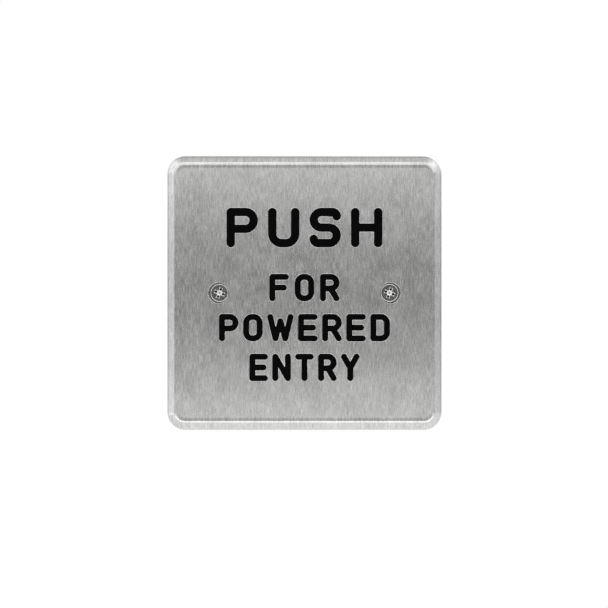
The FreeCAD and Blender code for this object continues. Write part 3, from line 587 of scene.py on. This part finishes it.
def brushed_stainless():
    """Short vertical grinding lines over a soft mottle; near black in the cuts: painted shade in the seats,
    enamel in the letters.
    """
    material, tree, shader = new_material("brushed_stainless")
    sheet = node(tree, "ShaderNodeUVMap", uv_map="sheet")
    sheet = sheet.outputs[0]
    fine = grain(tree, sheet, (400.0, 36.0, 36.0), 1.0, 3.0)
    broad = grain(tree, sheet, (130.0, 16.0, 16.0), 1.0, 2.0)
    mottle = grain(tree, sheet, (14.0, 9.0, 9.0), 1.0, 3.0)
    grit = grain(tree, sheet, (420.0, 150.0, 150.0), 1.0, 2.0)
    total = combined(tree, "MULTIPLY", fine, 1.2 / GRAIN_WHOLE)
    for part, weight in ((broad, 0.50), (mottle, 0.45), (grit, 0.60)):
        total = combined(tree, "ADD", total, combined(tree, "MULTIPLY", part, weight / GRAIN_WHOLE))
    tone = ranged(tree, total, 0.0, 1.0, 0.40, 0.60)
    shade = blended(tree, tone, (0.465, 0.465, 0.457), (0.775, 0.775, 0.765))
    # the seats are painted near black, as shade, and the letter walls dark as their enamel
    cut = node(tree, "ShaderNodeAttribute", attribute_name="seat_shade_and_cut_enamel")
    shade_and_enamel = blended(tree, cut.outputs["Fac"], shade, (0.035, 0.035, 0.034))
    tree.links.new(shade_and_enamel, shader.inputs["Base Color"])
    tree.links.new(ranged(tree, total, 0.235, 0.285, 0.40, 0.60), shader.inputs["Roughness"])
    bumped(tree, shader, fine, 0.005 * MM)
    shader.inputs["Metallic"].default_value = 1.0
    shader.inputs["Anisotropic"].default_value = 0.75
    across = node(tree, "ShaderNodeTangent", direction_type="UV_MAP", uv_map="sheet")
    tree.links.new(across.outputs[0], shader.inputs["Tangent"])
    return material


plate = face_plate()
plate.data.materials.append(brushed_stainless())
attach(plate, "face")
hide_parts("face_plate")


# ---------------------------------------------------------------- legend
# Black enamel wiped into the cut letters, level with the metal to within the
# thickness of a hair. It dries slightly uneven.
def legend_enamel():
    """Near-black paint with a faint ripple."""
    material, tree, shader = new_material("legend_enamel")
    ripple = even_noise(tree, 900.0, 2.0)
    shade = blended(tree, ripple, (0.0005, 0.0005, 0.0005), (0.002, 0.002, 0.002))
    tree.links.new(shade, shader.inputs["Base Color"])
    tree.links.new(ranged(tree, ripple, 0.45, 0.6), shader.inputs["Roughness"])
    bumped(tree, shader, ripple, 0.01 * MM)
    shader.inputs["Specular IOR Level"].default_value = 0.02
    return material


def repaint(name, material):
    """Give a CAD node a new finish in each of its material slots."""
    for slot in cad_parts[name].material_slots:
        slot.material = material


enamel = legend_enamel()
for row in LEGEND_ROWS:
    repaint(row, enamel)


# ---------------------------------------------------------------- face screws
# Number 8 countersunk screws of dull plated steel with a cross recess. The
# recess and the rim of the head are painted bright, as highlights, and the pits
# in the recess are painted black, as shade.
HEAD_RADIUS = 3.75 * MM
HEAD_FRONT = -16.6 * MM
SHANK_RADIUS = 2.083 * MM
HEAD_RINGS = 96
HEAD_SPOKES = 192
RECESS_TURN = math.radians(-20)
RECESS_ARM = 2.25 * MM
RECESS_HALF = 0.74 * MM
RECESS_DEPTH = 1.1 * MM
RECESS_SLOPE = 0.26 * MM        # width over which its sides go down
RECESS_END = 0.40 * MM          # and its ends
RECESS_FALL = 1.35 * MM         # its floor rises to the shallow part over this distance
RECESS_GLINT_GAP = 0.55 * MM         # radius of the middle of the recess that is left without painted highlight
PIT_AT = 1.55 * MM              # a deep corner near the end of each arm
PIT_RADIUS = 0.50 * MM
PIT_DEPTH = 0.5 * MM
DOME = 0.10 * MM                # the head stands this much higher in the middle than at its rim
RIM_WIDTH = 0.30 * MM
THREAD_PITCH = 0.79 * MM
THREAD_DEPTH = 0.30 * MM
THREAD_ROWS = 90


def smoothstep(value):
    """0 below 0, 1 above 1, and 3 v^2 - 2 v^3 between."""
    value = np.clip(value, 0, 1)
    return value * value * (3 - 2 * value)


def recess_depth(a, b):
    """How deep the cross recess is at (a, b), and how much painted highlight the metal has there.

    Each arm is smooth(half width - |b|) x smooth(arm - |a|) deep, deeper near the middle, and has a
    pit near its end. The deeper of the two arms counts. The arms get painted highlight, and the pits
    get painted shade: there the value goes below 0.
    """
    depth = np.zeros_like(a)
    glint_and_shade = np.zeros_like(a)
    pits = np.zeros_like(a)
    for along, across in ((a, b), (b, a)):
        half = RECESS_HALF * (0.76 + 0.30 * smoothstep(np.abs(along) / PIT_AT))
        side = smoothstep((half - np.abs(across)) / RECESS_SLOPE + 0.5)
        end = smoothstep((RECESS_ARM - np.abs(along)) / RECESS_END + 0.5)
        floor = RECESS_DEPTH * (0.40 + 0.60 * smoothstep(1.2 - np.abs(along) / RECESS_FALL))
        near = np.hypot(np.abs(along) - PIT_AT, across) / PIT_RADIUS
        pits = np.maximum(pits, smoothstep(1.35 - near))
        depth = np.maximum(depth, side * end * floor)
        glint_and_shade = np.maximum(glint_and_shade, side * end)
    middle = 0.90 * np.exp(-(np.hypot(a, b) / RECESS_GLINT_GAP) ** 2)
    return depth + PIT_DEPTH * pits, glint_and_shade * (1 - middle) - 3 * pits


def face_screw(name, side):
    """Head as a polar grid with the recess in its depth, then a coned neck and a threaded shank.

    The thread is radius = shank - share of the groove, a triangle wave in y / pitch - angle / turn.
    """
    x, z = middle_of("face_screw_" + side)
    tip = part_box("face_screw_" + side)[1].y
    turn = np.linspace(0, 2 * math.pi, HEAD_SPOKES, endpoint=False)
    out = (HEAD_RADIUS - 0.15 * MM) * np.linspace(0, 1, HEAD_RINGS)[:, None] ** 0.9
    flat_x, flat_z = out * np.cos(turn), out * np.sin(turn)
    a = flat_x * math.cos(RECESS_TURN) + flat_z * math.sin(RECESS_TURN)
    b = flat_z * math.cos(RECESS_TURN) - flat_x * math.sin(RECESS_TURN)
    depth, glint_and_shade = recess_depth(a, b)
    dome = DOME * (1 - (out / HEAD_RADIUS) ** 2)
    head = np.stack((x + flat_x, HEAD_FRONT + DOME + depth - dome, z + flat_z), axis=2)
    # painted highlight: a bright ring round the rim of the head
    rim = smoothstep((out - HEAD_RADIUS + RIM_WIDTH) / (0.15 * MM) + 0.5)
    neck_y = HEAD_FRONT + (HEAD_RADIUS - SHANK_RADIUS) / math.tan(SEAT_ANGLE)
    edge = [(HEAD_RADIUS - 0.05 * MM, HEAD_FRONT + DOME + 0.04 * MM),
            (HEAD_RADIUS, HEAD_FRONT + DOME + 0.14 * MM),
            (HEAD_RADIUS - 0.10 * MM, HEAD_FRONT + DOME + 0.26 * MM), (SHANK_RADIUS, neck_y + 0.05 * MM)]
    level = np.linspace(neck_y + 0.1 * MM, tip - 0.6 * MM, THREAD_ROWS)
    end = [(SHANK_RADIUS - 0.3 * MM, tip - 0.3 * MM), (SHANK_RADIUS - 0.6 * MM, tip), (0.0, tip)]
    phase = (level[:, None] / THREAD_PITCH - turn / (2 * math.pi)) % 1.0
    groove = THREAD_DEPTH * np.abs(2 * phase - 1) * smoothstep((level[:, None] - level[0]) / (0.8 * MM))
    shank = SHANK_RADIUS - groove
    rows = np.vstack([np.broadcast_to(r, (1, HEAD_SPOKES)) for r, _ in edge] + [shank]
                     + [np.broadcast_to(r, (1, HEAD_SPOKES)) for r, _ in end])
    levels = np.concatenate([[y for _, y in edge], level, [y for _, y in end]])[:, None]
    rest = np.stack((x + rows * np.cos(turn), np.broadcast_to(levels, rows.shape),
                     z + rows * np.sin(turn)), axis=2)
    points = np.concatenate((head, rest)).reshape(-1, 3)
    faces = grid_faces(HEAD_RINGS + len(levels), HEAD_SPOKES)
    # painted highlight on the recess, the rim and the first edge rows of the head; painted shade, below 0,
    # in the pits
    painted_light = np.zeros((HEAD_RINGS + len(levels), HEAD_SPOKES))
    painted_light[:HEAD_RINGS] = glint_and_shade + rim
    painted_light[HEAD_RINGS:HEAD_RINGS + 2] = 1.0
    return new_piece(name, points, faces, glint_and_pit_shade=painted_light.ravel())


def screw_plating():
    """Dull grey plating with a fine bloom, painted bright as highlight where the value is above 0 and black
    as shade below 0.
    """
    material, tree, shader = new_material("screw_plating")
    bloom = even_noise(tree, 1400.0, 4.0)
    shade = blended(tree, ranged(tree, bloom, 0.0, 1.0), (0.06, 0.058, 0.056), (0.17, 0.164, 0.158))
    glint_and_pit_shade = node(tree, "ShaderNodeAttribute", attribute_name="glint_and_pit_shade").outputs["Fac"]
    # painted highlight, then painted shade in the pits
    shade = blended(tree, glint_and_pit_shade, shade, (0.85, 0.85, 0.84))
    pit_shade = ranged(tree, glint_and_pit_shade, 0.0, 1.0, 0.0, -0.7)
    shade = blended(tree, pit_shade, shade, (0.004, 0.004, 0.004))
    tree.links.new(shade, shader.inputs["Base Color"])
    tree.links.new(ranged(tree, bloom, 0.24, 0.38), shader.inputs["Roughness"])
    shader.inputs["Metallic"].default_value = 1.0
    return material


plating = screw_plating()
for side in SIDES:
    screw = face_screw("cross_recess_screw_" + side, side)
    screw.data.materials.append(plating)
    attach(screw, "base")
    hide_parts("face_screw_" + side)


# ---------------------------------------------------------------- standoffs
# Turned steel posts, tapped for the face screws. The thin tail goes through the
# back plate and is swaged over behind it.
def softened(outline, radius, steps=4):
    """Round the inner corners of an outline of (radius, y) points, or fewer where a side is short.

    Each corner becomes an arc from corner + cut x arriving side to corner + cut x leaving side, with
    one more point just before and just after it so that the flats stay flat.
    """
    outline = np.asarray(outline)
    pieces = [outline[:1]]
    for before, corner, after in zip(outline[:-2], outline[1:-1], outline[2:]):
        reach = np.array([np.linalg.norm(before - corner), np.linalg.norm(after - corner)])
        back, on = (before - corner) / reach[0], (after - corner) / reach[1]
        half = math.acos(np.clip(np.dot(back, on), -1, 1)) / 2
        cut = min(radius / math.tan(half), 0.42 * reach.min())
        centre = corner + (back + on) / np.linalg.norm(back + on) * cut / math.cos(half)
        start, end = corner + back * cut - centre, corner + on * cut - centre
        sweep = math.pi - 2 * half
        share = np.linspace(0, 1, steps + 1)[:, None]
        bend = (np.sin((1 - share) * sweep) * start + np.sin(share * sweep) * end) / math.sin(sweep)
        pieces += [[corner + back * cut * 1.15], centre + bend, [corner + on * cut * 1.15]]
    pieces.append(outline[-1:])
    return np.vstack(pieces)


def spun_piece(name, outline, centres, radius, segments=48):
    """The same outline of (radius, y) in millimetres, rounded and spun about each centre, as one mesh."""
    outline = softened(np.asarray(outline) * MM, radius * MM)
    made = [spun(outline, x, z, segments) for x, z in centres]
    count = len(made[0][0])
    points = np.vstack([points for points, _ in made])
    faces = np.vstack([faces + count * number for number, (_, faces) in enumerate(made)])
    return new_piece(name, points, faces)


def finish(name, dark, light, scale, roughness, metallic=0.0, relief=0.0, stretch=(1, 1, 1)):
    """A surface whose colour and roughness wander between two values with a noise of this scale.

    relief is the depth of the matching unevenness, and stretch draws the noise out along an axis.
    """
    material, tree, shader = new_material(name)
    place = node(tree, "ShaderNodeTexCoord")
    noise = grain(tree, place.outputs["Object"], stretch, scale, 4.0)
    shade = blended(tree, ranged(tree, noise, 0.0, 1.0), dark, light)
    tree.links.new(shade, shader.inputs["Base Color"])
    tree.links.new(ranged(tree, noise, *roughness), shader.inputs["Roughness"])
    if relief:
        bumped(tree, shader, noise, relief)
    shader.inputs["Metallic"].default_value = metallic
    return material


def fitted(piece, material, body, replaced):
    """Give a piece its finish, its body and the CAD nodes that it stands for."""
    piece.data.materials.append(material)
    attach(piece, body)
    for name in replaced:
        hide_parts(name)


turned_steel = finish("turned_steel", (0.50, 0.49, 0.48), (0.64, 0.63, 0.62), 300.0, (0.25, 0.38),
                      metallic=1.0, relief=0.006 * MM, stretch=(0.2, 6.0, 0.2))
for side in SIDES:
    post = spun_piece("turned_standoff_" + side,
                      [(2.6, -11.5), (3.175, -11.5), (3.175, -3.5), (2.575, -3.5), (2.575, -2.0),
                       (3.575, -2.0), (2.575, -1.2), (2.103, -1.2), (2.103, -11.5), (2.6, -11.5)],
                      [middle_of("face_screw_" + side)], 0.15)
    fitted(post, turned_steel, "base", ["standoff_" + side])


# ---------------------------------------------------------------- guide bushes
# Moulded nylon sleeves with a flange. They slide on the standoffs, and the seat
# rocks on a small half-round ridge across each flange.
RIDGE = 0.14 * MM
BUSH_FRONT = -14.15 * MM
nylon = finish("natural_nylon", (0.74, 0.72, 0.66), (0.80, 0.785, 0.73), 180.0, (0.34, 0.48),
               relief=0.004 * MM)
nylon.node_tree.nodes["Principled BSDF"].inputs["Subsurface Weight"].default_value = 0.15


def ridge_bar(x, z, inner, outer):
    """Half-round bar along X on the flange, y = front - radius x sin(t), as two lengths beside the bore."""
    turn = np.linspace(0, math.pi, 9)
    foot = BUSH_FRONT + 0.1 * MM
    section = np.column_stack((BUSH_FRONT - RIDGE * np.sin(turn), RIDGE * np.cos(turn)))
    section = np.vstack((section, [(foot, -RIDGE), (foot, RIDGE)]))
    bars = []
    for start, end in ((-outer, -inner), (inner, outer)):
        along = np.array([start, start, end, end])[:, None]
        shrink = np.array([0.0, 1.0, 1.0, 0.0])[:, None]
        middle = section.mean(0)
        y = middle[0] + (section[:, 0] - middle[0]) * shrink
        height = middle[1] + (section[:, 1] - middle[1]) * shrink
        bars.append(np.stack((x + along + 0 * y, y, z + height), axis=2).reshape(-1, 3))
    return bars, grid_faces(4, len(section))


for side in SIDES:
    centre = middle_of("face_screw_" + side)
    outline = softened(np.array([(4.0, -14.15), (5.9, -14.15), (5.9, -13.15), (4.6, -13.15), (4.6, -7.0),
                                 (3.225, -7.0), (3.225, -14.15), (4.0, -14.15)]) * MM, 0.2 * MM)
    sleeve, sleeve_faces = spun(outline, *centre, segments=72)
    bars, bar_faces = ridge_bar(*centre, 3.35 * MM, 5.7 * MM)
    starts = (0, len(sleeve), len(sleeve) + len(bars[0]))
    bush = new_piece("nylon_bush_" + side, np.vstack([sleeve, *bars]),
                     np.vstack([sleeve_faces + starts[0], bar_faces + starts[1], bar_faces + starts[2]]))
    fitted(bush, nylon, "bushes", ["guide_bush_" + side])


# ---------------------------------------------------------------- back plate
# Zinc-plated steel sheet with two folded sides and a window for the switch, and
# the bracket of the same sheet behind it. The edges are broken by tumbling.
SHARP = math.radians(35)


def softened_copy(name, source, width):
    """A welded copy of a CAD node with every sharp edge given a small round."""
    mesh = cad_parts[source].data.copy()
    mesh.name = name
    mesh.materials.clear()
    welded(mesh, joined_flats=True)
    mesh.polygons.foreach_set("use_smooth", np.full(len(mesh.polygons), True))
    mesh.set_sharp_from_angle(angle=SHARP)
    piece = placed(name, mesh)
    edge = piece.modifiers.new("edge", "BEVEL")
    edge.width = width
    edge.segments = 2
    edge.limit_method = "ANGLE"
    edge.angle_limit = SHARP
    edge.harden_normals = True
    return piece


zinc_sheet = finish("zinc_plated_sheet", (0.52, 0.54, 0.56), (0.70, 0.72, 0.74), 140.0, (0.26, 0.44),
                    metallic=1.0, relief=0.008 * MM, stretch=(1, 1, 0.35))
for source, width in (("back_plate", 0.15), ("switch_bracket", 0.12)):
    sheet_piece = softened_copy("zinc_" + source, source, width * MM)
    fitted(sheet_piece, zinc_sheet, "base", [source])


# ---------------------------------------------------------------- wall seal
# One ring die-cut from black closed-cell foam, glued to the rear of the back
# plate. Its cut cells show as fine pits.
def foam_skin():
    """Black foam: small round cells sunk into the surface, each painted darker towards its sunk middle, as
    shade.
    """
    material, tree, shader = new_material("foam_skin")
    place = node(tree, "ShaderNodeTexCoord")
    cells = node(tree, "ShaderNodeTexVoronoi", in_Scale=2200.0)
    tree.links.new(place.outputs["Object"], cells.inputs["Vector"])
    # painted shade: the colour follows the cell distance, darkest at the sunk middle of each cell
    shade = blended(tree, ranged(tree, cells.outputs["Distance"], 0.0, 1.0, 0.0, 0.8),
                    (0.012, 0.012, 0.013), (0.045, 0.045, 0.047))
    tree.links.new(shade, shader.inputs["Base Color"])
    bumped(tree, shader, cells.outputs["Distance"], 0.08 * MM)
    shader.inputs["Roughness"].default_value = 0.9
    shader.inputs["Specular IOR Level"].default_value = 0.2
    return material


seal = softened_copy("foam_ring", "wall_seal", 0.3 * MM)
fitted(seal, foam_skin(), "base", ["wall_seal"])


# ---------------------------------------------------------------- springs
# Four open coil springs of drawn wire between pins on the back plate and welded
# studs on the face plate. Each is cut across its turns into a front and a rear piece.
SPRING_AT = 38.0 * MM
SPRING_RADIUS = 3.5 * MM
SPRING_WIRE = 0.45 * MM
SPRING_TURNS = 5.5
SPRING_ROWS = 330
SPRING_SPOKES = 14
SPRING_CAP_STEPS = 4
SPRING_EASE = 0.035             # how much the pitch closes up towards the two ends
SPRING_PRESSED_SHARE = 0.7      # this share of its length, counted from the rear, is the rear piece
CORNERS = {"upper_left": (-1, 1), "upper_right": (1, 1), "lower_left": (-1, -1), "lower_right": (1, -1)}


def coil(name, x, z, front, rear, split):
    """Tube round a helix: centre = (R cos t, y(t), -R sin t), y eased level over the last turns.

    The tube is centre + wire x (cos p x radial + sin p x across), and closes by shrinking the wire
    along a quarter circle at each end. It is cut at the level split into a front and a rear piece.
    """
    turn = np.linspace(0, 2 * math.pi * SPRING_TURNS, SPRING_ROWS)
    share = turn / turn[-1]
    eased = share - SPRING_EASE * np.sin(2 * math.pi * share)
    level = front + SPRING_WIRE + (rear - front - 2 * SPRING_WIRE) * eased
    centre = np.column_stack((x + SPRING_RADIUS * np.cos(turn), level, z - SPRING_RADIUS * np.sin(turn)))
    radial = np.column_stack((np.cos(turn), 0 * turn, -np.sin(turn)))
    along = np.gradient(centre, axis=0)
    along /= np.linalg.norm(along, axis=1)[:, None]
    across = np.cross(along, radial)
    cap = np.linspace(0, math.pi / 2, SPRING_CAP_STEPS, endpoint=False)
    first = centre[0] - along[0] * SPRING_WIRE * np.cos(cap)[:, None]
    last = centre[-1] + along[-1] * SPRING_WIRE * np.cos(cap[::-1])[:, None]
    centre = np.vstack((first, centre, last))
    size = np.concatenate((np.sin(cap), np.ones(len(turn)), np.sin(cap[::-1])))[:, None, None] * SPRING_WIRE
    ends = ((len(cap), len(cap)), (0, 0))
    radial = np.pad(radial, ends, "edge")[:, None]
    across = np.pad(across, ends, "edge")[:, None]
    around = np.linspace(0, 2 * math.pi, SPRING_SPOKES, endpoint=False)[None, :, None]
    points = centre[:, None] + size * (np.cos(around) * radial + np.sin(around) * across)
    cut = np.searchsorted(centre[:, 1], split)
    closing = np.repeat(centre[cut][None, None], SPRING_SPOKES, axis=1)
    pieces = []
    for end, rows in (("front", np.vstack((points[:cut + 1], closing))),
                      ("rear", np.vstack((closing, points[cut:])))):
        faces = grid_faces(len(rows), SPRING_SPOKES)
        pieces.append(new_piece(name + "_" + end, rows.reshape(-1, 3), faces))
    return pieces


spring_wire = finish("drawn_wire", (0.42, 0.42, 0.43), (0.60, 0.60, 0.61), 900.0, (0.22, 0.36),
                     metallic=1.0, relief=0.004 * MM)
for corner, (right, up) in CORNERS.items():
    low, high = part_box("return_spring_" + corner)
    split = high.y - SPRING_PRESSED_SHARE * (high.y - low.y)
    tilting, pressed = coil("wire_spring_" + corner, right * SPRING_AT, up * SPRING_AT,
                            low.y, high.y, split)
    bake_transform(tilting)
    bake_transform(pressed)
    for piece in (tilting, pressed):
        piece.data.materials.append(spring_wire)
        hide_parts("return_spring_" + corner)


# ---------------------------------------------------------------- spring pins
# Chamfered steel pins inside each spring: four riveted to the back plate, and
# four welded to the inside of the face plate.
spots = [(right * SPRING_AT, up * SPRING_AT) for right, up in CORNERS.values()]
posts = spun_piece("spring_pins_rear", [(0, -8.5), (2.0, -8.5), (2.5, -8.0), (2.5, -3.5), (0, -3.5)],
                   spots, 0.12)
fitted(posts, zinc_sheet, "base", ["spring_posts"])
weld_steel = finish("weld_stud_steel", (0.34, 0.31, 0.28), (0.52, 0.50, 0.47), 260.0, (0.32, 0.5),
                    metallic=1.0, relief=0.01 * MM)
studs = spun_piece("spring_pins_front", [(0, -15.5), (2.4, -15.5), (2.4, -13.5), (1.9, -13.0), (0, -13.0)],
                   spots, 0.12)
fitted(studs, weld_steel, "face", ["spring_studs"])


# ---------------------------------------------------------------- bumpers
# Moulded black rubber stops. The barbed stem is pulled through the back plate,
# and the domed front takes the face plate at full press.
rubber = finish("moulded_rubber", (0.014, 0.014, 0.014), (0.03, 0.03, 0.03), 700.0, (0.55, 0.75),
                relief=0.01 * MM)
for corner in CORNERS:
    stop = spun_piece("rubber_stop_" + corner,
                      [(0, -11.9), (3.4, -11.9), (4.0, -11.3), (4.5, -3.5), (1.6, -3.5), (1.6, -2.0),
                       (2.3, -2.0), (1.2, -0.5), (0, -0.5)], [middle_of("bumper_" + corner)], 0.35)
    fitted(stop, rubber, "base", ["bumper_" + corner])


# ---------------------------------------------------------------- bracket rivets
# Two pulled aluminium rivets, domed in front and set flat behind the bracket.
aluminium = finish("rivet_aluminium_skin", (0.66, 0.66, 0.67), (0.80, 0.80, 0.81), 500.0, (0.28, 0.42),
                   metallic=1.0, relief=0.006 * MM)
rivet_z = middle_of("bracket_rivets")[1]
rivets = spun_piece("pulled_rivets",
                    [(0, -4.3), (2.0, -4.3), (2.8, -3.5), (1.6, -3.5), (1.6, -0.8), (2.6, -0.8),
                     (2.0, -0.1), (0, -0.1)], [(-7 * MM, rivet_z), (7 * MM, rivet_z)], 0.3)
fitted(rivets, aluminium, "base", ["bracket_rivets"])


# ---------------------------------------------------------------- striker
# A welded stud inside the face plate with a domed nylon cap pressed on, which
# pushes the lever of the switch.
CAP_RADIUS = 3.2 * MM
low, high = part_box("striker_cap")
dome = high.y - CAP_RADIUS
reach = math.acos((low.y - dome) / CAP_RADIUS)
turn = np.linspace(0, reach, 24)
ball = np.column_stack((CAP_RADIUS * np.sin(turn), dome + CAP_RADIUS * np.cos(turn)))
socket = np.array([(1.5, -15.5), (1.5, -13.9), (0, -13.9)]) * MM
points, faces = spun(np.vstack((ball, socket)), middle_of("striker_cap")[0], 0.0, segments=64)
fitted(new_piece("nylon_striker", points, faces), nylon, "face", ["striker_cap"])
repaint("striker_stud", weld_steel)


# ---------------------------------------------------------------- switch
# Snap-action switch: a tray and cover of black phenolic, a red plunger, a
# spring-steel lever on a pin, and brass tabs joined to copper contact parts.
phenolic = finish("black_phenolic", (0.012, 0.012, 0.013), (0.03, 0.03, 0.031), 420.0, (0.30, 0.48),
                  relief=0.006 * MM)
for source, slot in (("switch_case", "case_plastic"), ("switch_cover", "cover_plastic")):
    fitted(softened_copy("moulded_" + source, source, 0.15 * MM), phenolic, "base", [source])
acetal = finish("red_acetal", (0.42, 0.012, 0.01), (0.56, 0.03, 0.02), 300.0, (0.18, 0.3),
                relief=0.002 * MM)
plunger = spun_piece("red_plunger", [(0, -9.65), (1.3, -9.65), (1.3, -6.6), (2.0, -6.6), (2.0, -6.0),
                                     (1.3, -6.0), (1.3, -3.75), (0, -3.75)],
                     [(middle_of("switch_plunger")[0], 0.0)], 0.75)
fitted(plunger, acetal, "plunger", ["switch_plunger"])
strip_steel = finish("rolled_spring_strip", (0.50, 0.51, 0.53), (0.66, 0.67, 0.69), 500.0, (0.2, 0.34),
                     metallic=1.0, relief=0.003 * MM, stretch=(0.08, 1, 1))
repaint("switch_lever", strip_steel)
repaint("lever_pin", strip_steel)
repaint("contact_blade", finish("rolled_copper", (0.60, 0.30, 0.18), (0.78, 0.46, 0.30), 600.0, (0.2, 0.34),
                                metallic=1.0, relief=0.003 * MM))
brass = finish("tinned_brass", (0.66, 0.53, 0.30), (0.80, 0.68, 0.42), 260.0, (0.22, 0.38),
               metallic=1.0, relief=0.004 * MM)
for name in ("terminal_common", "terminal_normally_open", "terminal_normally_closed"):
    repaint(name, brass)


# ---------------------------------------------------------------- switch fixings
# Two slotted zinc-plated screws clamp the switch to its bracket, each with a nut.
bright_zinc = finish("bright_zinc", (0.60, 0.62, 0.65), (0.76, 0.78, 0.80), 350.0, (0.16, 0.3),
                     metallic=1.0, relief=0.004 * MM)
for source in ("switch_screws", "switch_nuts"):
    fitted(softened_copy("zinc_" + source, source, 0.12 * MM), bright_zinc, "base", [source])
